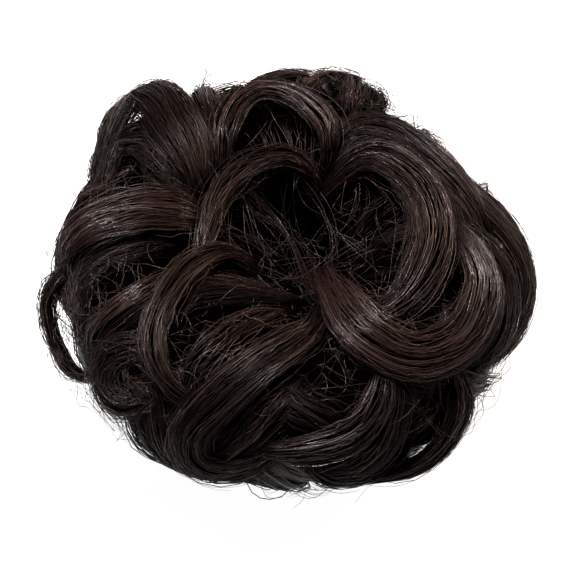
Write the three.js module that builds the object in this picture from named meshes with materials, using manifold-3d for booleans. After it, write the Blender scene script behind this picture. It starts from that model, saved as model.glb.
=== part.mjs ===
// A top knot hairpiece: a stretch band inside a sewn ring of hair, with curled locks heaped round it.
// It lies on a flat surface as it does off the head. Millimetres, +Z up. The origin is the centre of
// the band's loop at the surface that the piece lies on.
//
// The locks follow a roll, the round heap of hair that runs round the band like a swim ring.
// A place on the roll is [bearing, turn, lift]. Bearing goes round the band, 0 to the right and
// 270 to the front. Turn goes round the roll, 0 outwards, 90 on top and 180 towards the loop.
// Lift is the height above the roll's middle line, as a share of the roll's own half sizes.

import * as THREE from 'three';
import { mergeVertices } from 'three/addons/utils/BufferGeometryUtils.js';
import Module from 'manifold-3d';

const wasm = await Module();
wasm.setup();

// Driving dimensions
const loopRadius = 12.5; // inside of the stretch band, relaxed
const bandThickness = 3;
const bandHeight = 9;
const ringDepth = 15; // the sewn ring, from its inner to its outer side
const ringHeight = 20;
const rollStandOff = 11.2; // from the sewn ring's outer side to the roll's middle line
const rollReach = 32; // half the roll's breadth
const rollRise = 29; // half the roll's height
const lockWidth = 12; // a full lock, across its flat side
const lockThickness = 5; // a full lock, through its flat side
const clearance = 0.3; // between neighbouring pieces

// Sizes that follow
const ringInner = loopRadius + bandThickness + clearance;
const ringMiddle = ringInner + ringDepth / 2;
const rollRadius = ringInner + ringDepth + rollStandOff;

// Shape of every lock
const endShares = [0.5, 0.35]; // breadth at the root and at the tip, as shares of the full breadth
const swellShare = 0.28; // part of the length over which the breadth grows from the root
const taperShare = 0.3; // part of the length over which it falls to the tip
const sectionSides = 6;
const stationsPerPlace = 1.45; // cross sections for each place in a lock's table row

// Shape of the two rings
const ringCorner = 4;
const bandCorner = 1.2;
const cornerSteps = 1;
const ringSides = 20;

const mergeDistance = 1e-4; // corners closer than this are one

// Locks in sight, from the topmost down. Breadth and depth are shares of lockWidth and lockThickness.
const crests = [
  { name: 'crest_front_right', breadth: 1.1, depth: 1.0, places: [
    [2, 80, 0.88], [-6, 67, 1.0], [-20, 53, 1.08], [-38, 50, 1.1],
    [-53, 60, 1.12], [-62, 80, 1.15], [-62, 108, 1.15], [-50, 135, 1.05]] },
  { name: 'crest_right', breadth: 1.1, depth: 1.0, places: [
    [62, 135, 0.9], [44, 102, 1.05], [18, 92, 1.12], [-6, 87, 1.12],
    [-26, 86, 1.08], [-46, 87, 1.0], [-62, 98, 0.88]] },
  { name: 'fall_front', breadth: 1.0, depth: 1.0, places: [
    [292, 112, 0.92], [280, 91, 1.02], [263, 73, 1.1], [253, 52, 1.1], [248, 31, 1.08],
    [250, 15, 1.04], [256, 10, 1.0], [264, 17, 0.97], [270, 28, 0.88]] },
  { name: 'rim_left', breadth: 0.62, depth: 0.9, places: [
    [232, 138, 1.15], [208, 131, 1.15], [214, 106, 1.15], [222, 84, 1.15],
    [229, 66, 1.15], [238, 53, 1.12], [247, 46, 1.02]] },
  { name: 'ring_back', breadth: 0.65, depth: 0.9, places: [
    [205, 118, 0.92], [186, 122, 1.05], [158, 123, 1.08], [130, 121, 1.08],
    [108, 118, 1.08], [88, 117, 1.05], [70, 122, 1.0], [56, 132, 0.9]] },
  { name: 'roof_back', breadth: 0.7, depth: 0.8, places: [
    [132, 118, 0.92], [121, 100, 1.08], [110, 86, 1.12], [100, 79, 1.14],
    [90, 81, 1.14], [80, 88, 1.12], [70, 97, 1.1], [64, 108, 1.05], [61, 122, 0.95]] },
  { name: 'sweep_right_upper', breadth: 0.75, depth: 0.9, places: [
    [68, 104, 0.92], [60, 88, 1.0], [50, 79, 1.03], [40, 76, 1.03],
    [28, 73, 1.03], [18, 67, 1.02], [9, 59, 0.99], [2, 50, 0.92]] },
  { name: 'sweep_right_lower', breadth: 0.9, depth: 0.9, places: [
    [62, 116, 0.88], [54, 98, 0.95], [43, 88, 0.97], [33, 83, 0.98],
    [22, 78, 0.98], [12, 71, 0.97], [4, 63, 0.95], [-4, 55, 0.88]] },
  { name: 'wave_left', breadth: 1.35, depth: 1.0, places: [
    [165, 128, 0.92], [172, 110, 1.05], [176, 92, 1.08], [180, 75, 1.1],
    [183, 63, 1.13], [186, 53, 1.12], [188, 45, 1.02], [191, 38, 0.9]] },
  { name: 'lobe_back_left', breadth: 1.45, depth: 1.0, places: [
    [150, 115, 0.92], [138, 94, 1.04], [132, 74, 1.12], [129, 54, 1.17],
    [130, 40, 1.2], [136, 38, 1.16], [143, 40, 1.06], [152, 44, 0.94]] },
  { name: 'swag_front', breadth: 0.72, depth: 0.9, places: [
    [301, 66, 0.92], [297, 54, 1.02], [292, 42, 1.05], [286, 34, 1.05],
    [279, 30, 1.03], [271, 27, 1.0], [262, 24, 0.9]] },
  { name: 'leg_back', breadth: 0.75, depth: 0.9, places: [
    [130, 118, 0.88], [123, 97, 0.98], [118, 75, 0.99], [114, 45, 0.96],
    [112, 15, 0.95], [114, -15, 0.92], [120, -35, 0.85]] },
  { name: 'bridge_left', breadth: 0.75, depth: 0.8, places: [
    [210, 100, 0.92], [213, 80, 1.0], [213, 60, 1.02], [212, 44, 1.0], [213, 28, 0.92]] },
];
const middles = [
  { name: 'fan_upper', breadth: 1.1, depth: 0.9, places: [
    [283, 138, 0.84], [254, 130, 0.95], [230, 116, 0.96], [223, 96, 0.96], [225, 76, 0.94]] },
  { name: 'fan_lower', breadth: 0.72, depth: 0.9, places: [
    [274, 124, 0.82], [254, 101, 0.92], [247, 83, 0.94], [243, 64, 0.94], [243, 44, 0.9]] },
  { name: 'hook_inner', breadth: 0.95, depth: 0.9, places: [
    [251, 4, 0.9], [255, 20, 0.94], [261, 38, 0.95], [268, 54, 0.94], [275, 68, 0.88]] },
  { name: 'swag_front_right', breadth: 0.8, depth: 0.9, places: [
    [304, 62, 0.9], [300, 46, 0.97], [296, 33, 1.0], [292, 20, 1.02],
    [286, 9, 1.0], [279, 5, 0.92]] },
  { name: 'fall_right', breadth: 0.95, depth: 0.9, places: [
    [6, 84, 0.86], [0, 70, 0.95], [-6, 55, 0.98], [-12, 42, 1.0],
    [-20, 32, 1.0], [-30, 26, 0.98], [-39, 24, 0.9]] },
  { name: 'nape_left', breadth: 1.55, depth: 0.9, places: [
    [158, 118, 0.82], [146, 94, 0.94], [141, 70, 1.0], [145, 51, 0.99],
    [153, 48, 0.93], [162, 52, 0.85]] },
  { name: 'wave_left_under', breadth: 0.8, depth: 0.8, places: [
    [182, 114, 0.8], [188, 88, 0.92], [191, 64, 0.96], [195, 50, 0.98],
    [202, 42, 0.95], [208, 38, 0.88]] },
  { name: 'swirl_left', breadth: 0.8, depth: 0.9, places: [
    [230, 62, 0.9], [223, 52, 0.97], [220, 38, 1.0], [223, 25, 1.02],
    [230, 24, 1.0], [235, 36, 0.94]] },
  { name: 'dip_front', breadth: 0.75, depth: 0.8, places: [
    [267, 62, 0.86], [274, 52, 0.92], [281, 42, 0.92], [286, 30, 0.88]] },
  { name: 'back_loop', breadth: 0.6, depth: 0.8, places: [
    [88, 78, 0.88], [82, 58, 1.0], [77, 42, 1.03], [71, 46, 1.04],
    [67, 66, 1.0], [65, 84, 0.9]] },
  { name: 'back_arc', breadth: 0.5, depth: 0.6, places: [
    [106, 70, 0.92], [96, 61, 1.03], [88, 55, 1.05], [81, 54, 1.03], [76, 66, 0.92]] },
];
const edges = [
  { name: 'edge_left', breadth: 0.5, depth: 0.8, places: [
    [186, 46, 0.9], [190, 31, 1.01], [193, 20, 1.04], [198, 12, 1.02],
    [203, 4, 0.98], [210, 6, 0.97], [217, 16, 0.9]] },
  { name: 'edge_front_left', breadth: 0.95, depth: 1.0, places: [
    [232, 44, 0.84], [235, 30, 0.9], [238, 16, 0.92], [241, 3, 0.92],
    [246, -8, 0.9], [253, -16, 0.86], [262, -18, 0.8]] },
  { name: 'lobe_front', breadth: 0.9, depth: 1.0, places: [
    [275, 12, 0.84], [279, 0, 0.9], [285, -8, 0.92], [292, -8, 0.92],
    [298, 2, 0.9], [303, 14, 0.85]] },
  { name: 'lobe_front_right', breadth: 1.0, depth: 1.0, places: [
    [319, 36, 0.9], [316, 20, 1.0], [311, 5, 1.03], [304, -7, 1.05],
    [296, -13, 1.01], [288, -16, 0.9]] },
  { name: 'lobe_front_right_inner', breadth: 1.25, depth: 0.9, places: [
    [316, 48, 0.82], [313, 27, 0.88], [306, 14, 0.89], [297, 10, 0.85]] },
  { name: 'edge_right', breadth: 1.35, depth: 1.0, places: [
    [26, 62, 0.82], [17, 54, 0.9], [9, 43, 0.95], [2, 29, 1.0], [-5, 15, 1.02],
    [-13, 7, 0.97], [-22, 6, 0.9], [-30, 8, 0.83]] },
  { name: 'back_tuft', breadth: 0.7, depth: 0.9, places: [
    [79, 30, 0.86], [73, 33, 0.93], [67, 40, 0.95], [62, 50, 0.93], [58, 64, 0.86]] },
];

// The inner layer that the locks in sight rest on. Each lock starts on the sewn ring and runs over the
// roll. Bearings here are from the lock's own bearing.
const innerCount = 14;
const innerLock = { breadth: 2.5, depth: 1.0, ends: [1, 0.6], rootBearing: -16, places: [
  [-12, 170, 0.62], [-6, 122, 0.68], [2, 72, 0.71], [10, 26, 0.7], [18, -14, 0.66]] };

// The low outer side, all round: these locks end on the surface that the piece lies on. The pile is
// lumpy, so each has its own reach, as a share of the table's lifts.
const skirtReaches = [0.94, 0.94, 0.94, 1.0, 1.04, 1.02, 0.87, 0.86, 1.02, 0.96, 1.04, 0.98];
const skirtLock = { breadth: 2.4, depth: 1.0, ends: [0.85, 0.7], places: [
  [-22, 50, 0.8], [-13, 24, 0.81], [-4, -4, 0.77], [4, -28, 0.77], [10, -52, 0.85], [11, -76, 1.0]] };

// A point of the roll, from the pile's centre
function placeOnRoll([bearing, turn, lift]) {
  const round = THREE.MathUtils.degToRad(bearing);
  const over = THREE.MathUtils.degToRad(turn);
  const reach = rollRadius + rollReach * lift * Math.cos(over);
  return new THREE.Vector3(
    reach * Math.cos(round),
    reach * Math.sin(round),
    rollRise * (1 + lift * Math.sin(over)),
  );
}

// The direction out of the roll at a point
function outOfRoll(point) {
  const reach = Math.hypot(point.x, point.y);
  const outward = (reach - rollRadius) / rollReach ** 2;
  const upward = (point.z - rollRise) / rollRise ** 2;
  return new THREE.Vector3((outward * point.x) / reach, (outward * point.y) / reach, upward).normalize();
}

// A lock's breadth along its length, as a share of its full breadth
function swell(along, [root, tip] = endShares) {
  const grown = THREE.MathUtils.smoothstep(along, 0, swellShare);
  const spent = THREE.MathUtils.smoothstep(along, 1 - taperShare, 1);
  return (root + (1 - root) * grown) * (1 - (1 - tip) * spent);
}

// The curve that a lock follows, from its root
function lockCurve({ root, places }) {
  const points = places.map(placeOnRoll);
  if (root) points.unshift(root);
  return new THREE.CatmullRomCurve3(points, false, 'centripetal');
}

// A closed lock of hair: flat oval sections along its curve, lying on the roll, and flat where it
// meets the surface. Room is added all round, for the space that the lock keeps free of its neighbours.
function lockGeometry(lock, room = 0) {
  const curve = lockCurve(lock);
  const stations = Math.round(curve.points.length * stationsPerPlace);
  const corners = [];
  for (let i = 0; i <= stations; i++) {
    const along = i / stations;
    const tangent = curve.getTangentAt(along);
    const middle = curve.getPointAt(along);
    if (i === 0) middle.addScaledVector(tangent, -room);
    if (i === stations) middle.addScaledVector(tangent, room);
    const across = new THREE.Vector3().crossVectors(tangent, outOfRoll(middle)).normalize();
    const out = new THREE.Vector3().crossVectors(across, tangent);
    const spread = lock.fans ? Math.hypot(middle.x, middle.y) / (rollRadius + rollReach) : 1;
    const share = swell(along, lock.ends);
    const halfBreadth = (lockWidth * lock.breadth * share * spread) / 2 + room;
    const halfDepth = (lockThickness * lock.depth * Math.sqrt(share)) / 2 + room;
    for (let k = 0; k < sectionSides; k++) {
      const angle = (2 * Math.PI * k) / sectionSides;
      const corner = middle.clone()
        .addScaledVector(across, halfBreadth * Math.cos(angle))
        .addScaledVector(out, halfDepth * Math.sin(angle));
      corners.push(corner.x, corner.y, Math.max(corner.z, -room));
    }
  }
  const faces = [];
  const last = stations * sectionSides;
  for (let k = 0; k < sectionSides; k++) {
    const next = (k + 1) % sectionSides;
    for (let row = 0; row < last; row += sectionSides) {
      faces.push(row + k, row + sectionSides + k, row + sectionSides + next);
      faces.push(row + k, row + sectionSides + next, row + next);
    }
    if (k > 1) {
      faces.push(0, k - 1, k);
      faces.push(last, last + k, last + k - 1);
    }
  }
  const geometry = new THREE.BufferGeometry();
  geometry.setAttribute('position', new THREE.Float32BufferAttribute(corners, 3));
  geometry.setIndex(faces);
  return geometry;
}

// A geometry as a solid that can be cut, and back
function solidOf(geometry) {
  const bare = geometry.clone();
  bare.deleteAttribute('normal');
  bare.deleteAttribute('uv');
  const merged = mergeVertices(bare, mergeDistance);
  const mesh = new wasm.Mesh({
    numProp: 3,
    vertProperties: merged.attributes.position.array,
    triVerts: new Uint32Array(merged.index.array),
  });
  return new wasm.Manifold(mesh);
}

function geometryOf(solid) {
  const { vertProperties, triVerts } = solid.getMesh();
  const geometry = new THREE.BufferGeometry();
  geometry.setAttribute('position', new THREE.BufferAttribute(vertProperties, 3));
  geometry.setIndex(new THREE.BufferAttribute(triVerts, 1));
  geometry.computeVertexNormals();
  return geometry;
}

function boxesMeet(a, b) {
  return [0, 1, 2].every((i) => a.min[i] < b.max[i] && b.min[i] < a.max[i]);
}

// The largest piece of a solid: a lock's far side that a neighbour cuts off is lost in the heap
function largestPiece(solid) {
  const pieces = solid.decompose();
  return pieces.reduce((best, piece) => (piece.volume() > best.volume() ? piece : best));
}

// A turned ring about +Z with rounded corners, from its inner side outwards
function ringGeometry(innerRadius, thickness, height, bottom, corner) {
  const right = innerRadius + thickness;
  const top = bottom + height;
  const outline = new THREE.Shape();
  outline.moveTo(innerRadius + corner, bottom);
  outline.lineTo(right - corner, bottom);
  outline.absarc(right - corner, bottom + corner, corner, -Math.PI / 2, 0, false);
  outline.absarc(right - corner, top - corner, corner, 0, Math.PI / 2, false);
  outline.absarc(innerRadius + corner, top - corner, corner, Math.PI / 2, Math.PI, false);
  outline.absarc(innerRadius + corner, bottom + corner, corner, Math.PI, 1.5 * Math.PI, false);
  const profile = outline.getPoints(cornerSteps).slice(0, -1);
  profile.push(profile[0].clone());
  return new THREE.LatheGeometry(profile, ringSides).rotateX(Math.PI / 2);
}

// Materials
const hair = new THREE.MeshStandardMaterial({ name: 'hair', color: 0x2a2020, roughness: 0.45 });
const elastic = new THREE.MeshStandardMaterial({ name: 'elastic', color: 0x171416, roughness: 0.8 });

const hairpiece = new THREE.Group();
hairpiece.name = 'top_knot_hairpiece';

function addPiece(name, geometry, material) {
  const piece = new THREE.Mesh(geometry, material);
  piece.name = name;
  hairpiece.add(piece);
}

// The band lies in the middle of the sewn ring's height
const band = ringGeometry(loopRadius, bandThickness, bandHeight, (ringHeight - bandHeight) / 2, bandCorner);
const sewnRing = ringGeometry(ringInner, ringDepth, ringHeight, 0, ringCorner);
addPiece('elastic_band', band, elastic);
addPiece('sewn_ring', sewnRing, hair);

// A lock that is repeated round the band, turned to its own bearing
function turned(lock, bearing, name, reach = 1) {
  const places = lock.places.map(([offset, turn, lift]) => [bearing + offset, turn, lift * reach]);
  return { ...lock, name, places, fans: true };
}

const inner = [];
for (let i = 0; i < innerCount; i++) {
  const bearing = (360 * i) / innerCount;
  const lock = turned(innerLock, bearing, `inner_lock_${i + 1}`);
  const round = THREE.MathUtils.degToRad(bearing + innerLock.rootBearing);
  lock.root = new THREE.Vector3(ringMiddle * Math.cos(round), ringMiddle * Math.sin(round), ringHeight);
  inner.push(lock);
}
const skirt = skirtReaches.map((reach, i) => {
  const bearing = (360 * (i + 0.5)) / skirtReaches.length;
  return turned(skirtLock, bearing, `skirt_lock_${i + 1}`, reach);
});

// Every lock gives way to the sewn ring and to the locks that lie over it
const taken = [solidOf(ringGeometry(
  ringInner - clearance, ringDepth + 2 * clearance, ringHeight + 2 * clearance, -clearance, ringCorner))];
for (const lock of [...crests, ...middles, ...edges, ...skirt, ...inner]) {
  let solid = solidOf(lockGeometry(lock));
  for (const neighbour of taken) {
    if (boxesMeet(solid.boundingBox(), neighbour.boundingBox())) solid = solid.subtract(neighbour);
  }
  taken.push(solidOf(lockGeometry(lock, clearance)));
  addPiece(lock.name, geometryOf(largestPiece(solid)), hair);
}

export default hairpiece;
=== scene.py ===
"""A top knot hairpiece: a stretch band in a sewn ring of hair, heaped with curled locks.

The solids of the part give every piece its place. Each lock is dressed with a body of fine strands that
follow the same curve as its solid. Everything is in metres, with +Z up and the origin at the centre of
the band's loop, on the surface that the piece lies on.
"""

import functools
import math
from dataclasses import dataclass

import bpy
import numpy as np
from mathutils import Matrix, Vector


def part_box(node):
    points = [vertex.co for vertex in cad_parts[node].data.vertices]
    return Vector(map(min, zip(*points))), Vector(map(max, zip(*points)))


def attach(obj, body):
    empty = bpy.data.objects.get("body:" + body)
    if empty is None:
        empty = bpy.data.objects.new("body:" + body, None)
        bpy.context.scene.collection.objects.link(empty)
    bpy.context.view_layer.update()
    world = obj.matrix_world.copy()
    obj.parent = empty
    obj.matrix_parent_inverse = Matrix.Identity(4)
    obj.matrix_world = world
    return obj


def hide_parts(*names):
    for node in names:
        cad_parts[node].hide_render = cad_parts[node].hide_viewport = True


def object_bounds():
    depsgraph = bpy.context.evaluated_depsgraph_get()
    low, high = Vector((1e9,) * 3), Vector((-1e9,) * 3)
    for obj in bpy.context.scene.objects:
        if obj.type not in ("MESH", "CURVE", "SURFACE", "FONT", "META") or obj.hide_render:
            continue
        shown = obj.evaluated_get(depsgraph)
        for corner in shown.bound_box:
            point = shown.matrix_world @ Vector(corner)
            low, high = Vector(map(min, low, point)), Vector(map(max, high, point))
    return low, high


bl_info = {
    "name": "Top knot hairpiece",
    "version": (1, 0, 0),
    "blender": (4, 5, 0),
    "location": "View3D > Sidebar > Hairpiece",
    "description": "Dresses the solids of a stretch bun hairpiece with strands, and sets its stage",
    "category": "Add Mesh",
}

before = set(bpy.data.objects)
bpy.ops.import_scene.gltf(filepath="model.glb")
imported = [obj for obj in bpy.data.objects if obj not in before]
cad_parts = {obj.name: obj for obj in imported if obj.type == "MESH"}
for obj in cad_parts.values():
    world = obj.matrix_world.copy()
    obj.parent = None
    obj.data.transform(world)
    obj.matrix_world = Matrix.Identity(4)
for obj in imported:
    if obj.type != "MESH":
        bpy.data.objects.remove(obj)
CAD_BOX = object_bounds()
BODY = "root"
MM = 0.001
TURN = 2 * math.pi
CLEARANCE = 0.3 * MM  # between neighbouring pieces
BAND_THICKNESS = 3 * MM
ROLL_STAND_OFF = 11.2 * MM  # from the sewn ring's outer side to the roll's middle line

BAND_LOW, BAND_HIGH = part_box("elastic_band")
RING_LOW, RING_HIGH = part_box("sewn_ring")

# Locks in sight, from the topmost down, as the part's source gives them. Each has its breadth and depth,
# as shares of a full lock's, and its places: [bearing, turn, lift], which are degrees round the band,
# degrees round the roll, and height over the roll's middle line as a share of the roll's half sizes.
CRESTS = {
    "crest_front_right": (1.1, 1.0, [
        (2, 80, 0.88), (-6, 67, 1.0), (-20, 53, 1.08), (-38, 50, 1.1),
        (-53, 60, 1.12), (-62, 80, 1.15), (-62, 108, 1.15), (-50, 135, 1.05)]),
    "crest_right": (1.1, 1.0, [
        (62, 135, 0.9), (44, 102, 1.05), (18, 92, 1.12), (-6, 87, 1.12),
        (-26, 86, 1.08), (-46, 87, 1.0), (-62, 98, 0.88)]),
    "fall_front": (1.0, 1.0, [
        (292, 112, 0.92), (280, 91, 1.02), (263, 73, 1.1), (253, 52, 1.1), (248, 31, 1.08),
        (250, 15, 1.04), (256, 10, 1.0), (264, 17, 0.97), (270, 28, 0.88)]),
    "rim_left": (0.62, 0.9, [
        (232, 138, 1.15), (208, 131, 1.15), (214, 106, 1.15), (222, 84, 1.15),
        (229, 66, 1.15), (238, 53, 1.12), (247, 46, 1.02)]),
    "ring_back": (0.65, 0.9, [
        (205, 118, 0.92), (186, 122, 1.05), (158, 123, 1.08), (130, 121, 1.08),
        (108, 118, 1.08), (88, 117, 1.05), (70, 122, 1.0), (56, 132, 0.9)]),
    "roof_back": (0.7, 0.8, [
        (132, 118, 0.92), (121, 100, 1.08), (110, 86, 1.12), (100, 79, 1.14),
        (90, 81, 1.14), (80, 88, 1.12), (70, 97, 1.1), (64, 108, 1.05), (61, 122, 0.95)]),
    "sweep_right_upper": (0.75, 0.9, [
        (68, 104, 0.92), (60, 88, 1.0), (50, 79, 1.03), (40, 76, 1.03),
        (28, 73, 1.03), (18, 67, 1.02), (9, 59, 0.99), (2, 50, 0.92)]),
    "sweep_right_lower": (0.9, 0.9, [
        (62, 116, 0.88), (54, 98, 0.95), (43, 88, 0.97), (33, 83, 0.98),
        (22, 78, 0.98), (12, 71, 0.97), (4, 63, 0.95), (-4, 55, 0.88)]),
    "wave_left": (1.35, 1.0, [
        (165, 128, 0.92), (172, 110, 1.05), (176, 92, 1.08), (180, 75, 1.1),
        (183, 63, 1.13), (186, 53, 1.12), (188, 45, 1.02), (191, 38, 0.9)]),
    "lobe_back_left": (1.45, 1.0, [
        (150, 115, 0.92), (138, 94, 1.04), (132, 74, 1.12), (129, 54, 1.17),
        (130, 40, 1.2), (136, 38, 1.16), (143, 40, 1.06), (152, 44, 0.94)]),
    "swag_front": (0.72, 0.9, [
        (301, 66, 0.92), (297, 54, 1.02), (292, 42, 1.05), (286, 34, 1.05),
        (279, 30, 1.03), (271, 27, 1.0), (262, 24, 0.9)]),
    "leg_back": (0.75, 0.9, [
        (130, 118, 0.88), (123, 97, 0.98), (118, 75, 0.99), (114, 45, 0.96),
        (112, 15, 0.95), (114, -15, 0.92), (120, -35, 0.85)]),
    "bridge_left": (0.75, 0.8, [
        (210, 100, 0.92), (213, 80, 1.0), (213, 60, 1.02), (212, 44, 1.0), (213, 28, 0.92)]),
}
MIDDLES = {
    "fan_upper": (1.1, 0.9, [
        (283, 138, 0.84), (254, 130, 0.95), (230, 116, 0.96), (223, 96, 0.96), (225, 76, 0.94)]),
    "fan_lower": (0.72, 0.9, [
        (274, 124, 0.82), (254, 101, 0.92), (247, 83, 0.94), (243, 64, 0.94), (243, 44, 0.9)]),
    "hook_inner": (0.95, 0.9, [
        (251, 4, 0.9), (255, 20, 0.94), (261, 38, 0.95), (268, 54, 0.94), (275, 68, 0.88)]),
    "swag_front_right": (0.8, 0.9, [
        (304, 62, 0.9), (300, 46, 0.97), (296, 33, 1.0), (292, 20, 1.02),
        (286, 9, 1.0), (279, 5, 0.92)]),
    "fall_right": (0.95, 0.9, [
        (6, 84, 0.86), (0, 70, 0.95), (-6, 55, 0.98), (-12, 42, 1.0),
        (-20, 32, 1.0), (-30, 26, 0.98), (-39, 24, 0.9)]),
    "nape_left": (1.55, 0.9, [
        (158, 118, 0.82), (146, 94, 0.94), (141, 70, 1.0), (145, 51, 0.99),
        (153, 48, 0.93), (162, 52, 0.85)]),
    "wave_left_under": (0.8, 0.8, [
        (182, 114, 0.8), (188, 88, 0.92), (191, 64, 0.96), (195, 50, 0.98),
        (202, 42, 0.95), (208, 38, 0.88)]),
    "swirl_left": (0.8, 0.9, [
        (230, 62, 0.9), (223, 52, 0.97), (220, 38, 1.0), (223, 25, 1.02),
        (230, 24, 1.0), (235, 36, 0.94)]),
    "dip_front": (0.75, 0.8, [
        (267, 62, 0.86), (274, 52, 0.92), (281, 42, 0.92), (286, 30, 0.88)]),
    "back_loop": (0.6, 0.8, [
        (88, 78, 0.88), (82, 58, 1.0), (77, 42, 1.03), (71, 46, 1.04),
        (67, 66, 1.0), (65, 84, 0.9)]),
    "back_arc": (0.5, 0.6, [
        (106, 70, 0.92), (96, 61, 1.03), (88, 55, 1.05), (81, 54, 1.03), (76, 66, 0.92)]),
}
EDGES = {
    "edge_left": (0.5, 0.8, [
        (186, 46, 0.9), (190, 31, 1.01), (193, 20, 1.04), (198, 12, 1.02),
        (203, 4, 0.98), (210, 6, 0.97), (217, 16, 0.9)]),
    "edge_front_left": (0.95, 1.0, [
        (232, 44, 0.84), (235, 30, 0.9), (238, 16, 0.92), (241, 3, 0.92),
        (246, -8, 0.9), (253, -16, 0.86), (262, -18, 0.8)]),
    "lobe_front": (0.9, 1.0, [
        (275, 12, 0.84), (279, 0, 0.9), (285, -8, 0.92), (292, -8, 0.92),
        (298, 2, 0.9), (303, 14, 0.85)]),
    "lobe_front_right": (1.0, 1.0, [
        (319, 36, 0.9), (316, 20, 1.0), (311, 5, 1.03), (304, -7, 1.05),
        (296, -13, 1.01), (288, -16, 0.9)]),
    "lobe_front_right_inner": (1.25, 0.9, [
        (316, 48, 0.82), (313, 27, 0.88), (306, 14, 0.89), (297, 10, 0.85)]),
    "edge_right": (1.35, 1.0, [
        (26, 62, 0.82), (17, 54, 0.9), (9, 43, 0.95), (2, 29, 1.0), (-5, 15, 1.02),
        (-13, 7, 0.97), (-22, 6, 0.9), (-30, 8, 0.83)]),
    "back_tuft": (0.7, 0.9, [
        (79, 30, 0.86), (73, 33, 0.93), (67, 40, 0.95), (62, 50, 0.93), (58, 64, 0.86)]),
}

# Locks that repeat round the band. Bearings are from the lock's own bearing, and each lock of the skirt
# has its own reach, as a share of the table's lifts.
INNER_COUNT = sum(node.startswith("inner_lock_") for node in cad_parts)
INNER_LOCK = (2.5, 1.0, [
    (-12, 170, 0.62), (-6, 122, 0.68), (2, 72, 0.71), (10, 26, 0.7), (18, -14, 0.66)])
INNER_ENDS = (1.0, 0.6)
INNER_ROOT_BEARING = -16
SKIRT_LOCK = (2.4, 1.0, [
    (-22, 50, 0.8), (-13, 24, 0.81), (-4, -4, 0.77), (4, -28, 0.77), (10, -52, 0.85), (11, -76, 1.0)])
SKIRT_ENDS = (0.85, 0.7)
SKIRT_REACHES = [0.94, 0.94, 0.94, 1.0, 1.04, 1.02, 0.87, 0.86, 1.02, 0.96, 1.04, 0.98]

# Shape of every lock
END_SHARES = (0.5, 0.35)  # breadth at the root and at the tip, as shares of the full breadth
SWELL_SHARE = 0.28  # part of the length over which the breadth grows from the root
TAPER_SHARE = 0.3  # part of the length over which it falls to the tip


class HairpieceSizes(bpy.types.PropertyGroup):
    """Sizes that a user would change. They follow the part's own sizes."""

    roll_radius: bpy.props.FloatProperty(
        name="Roll radius", description="From the loop's centre to the middle line of the roll of hair",
        default=RING_HIGH[0] + ROLL_STAND_OFF, unit="LENGTH")
    roll_reach: bpy.props.FloatProperty(
        name="Roll reach", description="Half the breadth of the roll", default=32 * MM, unit="LENGTH")
    roll_rise: bpy.props.FloatProperty(
        name="Roll rise", description="Half the height of the roll", default=29 * MM, unit="LENGTH")
    lock_width: bpy.props.FloatProperty(
        name="Lock width", description="Breadth of a full lock", default=12 * MM, unit="LENGTH")
    lock_thickness: bpy.props.FloatProperty(
        name="Lock thickness", description="Depth of a full lock", default=5 * MM, unit="LENGTH")
    strand_width: bpy.props.FloatProperty(
        name="Strand width", description="Width of a strand in a lock", default=0.24 * MM, unit="LENGTH")
    stray_width: bpy.props.FloatProperty(
        name="Stray width", description="Width of a single loose hair", default=0.16 * MM, unit="LENGTH")
    strand_density: bpy.props.FloatProperty(
        name="Strands", description="Strands for each millimetre of a lock's breadth", default=17.0, min=1.0)


class HairpieceColours(bpy.types.PropertyGroup):
    """Colours of the hair, the band and the floor."""

    hair_dark: bpy.props.FloatVectorProperty(
        name="Dark hair", description="The darkest strands", subtype="COLOR",
        default=(0.0016, 0.0008, 0.0008))
    hair_light: bpy.props.FloatVectorProperty(
        name="Light hair", description="The lightest strands", subtype="COLOR",
        default=(0.027, 0.0135, 0.0116))
    # Painted light: single hairs get a lighter colour than the locks for the light that they catch.
    hair_loose_lit: bpy.props.FloatVectorProperty(
        name="Loose hair", description="The lightest single hairs", subtype="COLOR",
        default=(0.07, 0.045, 0.037))
    band: bpy.props.FloatVectorProperty(
        name="Band", description="The knitted elastic band", subtype="COLOR",
        default=(0.012, 0.010, 0.011))
    floor: bpy.props.FloatVectorProperty(
        name="Floor", description="The pale surface that the piece lies on", subtype="COLOR",
        default=(0.2, 0.2, 0.2))


def smoothstep(value, low, high):
    """Rises smoothly from 0 at low to 1 at high."""
    share = np.clip((value - low) / (high - low), 0, 1)
    return share * share * (3 - 2 * share)


def place_on_roll(bearing, turn, lift, sizes):
    """A point of the roll, from degrees round the band, degrees round the roll and a share of lift."""
    bearing, turn = np.radians(bearing), np.radians(turn)
    reach = sizes.roll_radius + sizes.roll_reach * lift * np.cos(turn)
    height = sizes.roll_rise * (1 + lift * np.sin(turn))
    return np.stack([reach * np.cos(bearing), reach * np.sin(bearing), height], axis=-1)


def unit(vectors):
    return vectors / np.linalg.norm(vectors, axis=-1, keepdims=True)


def out_of_roll(points, sizes):
    """The directions out of the roll at some points."""
    reach = np.hypot(points[..., 0], points[..., 1])
    outward = (reach - sizes.roll_radius) / sizes.roll_reach ** 2
    upward = (points[..., 2] - sizes.roll_rise) / sizes.roll_rise ** 2
    flat = points[..., :2] * (outward / reach)[..., None]
    return unit(np.concatenate([flat, upward[..., None]], axis=-1))


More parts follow.
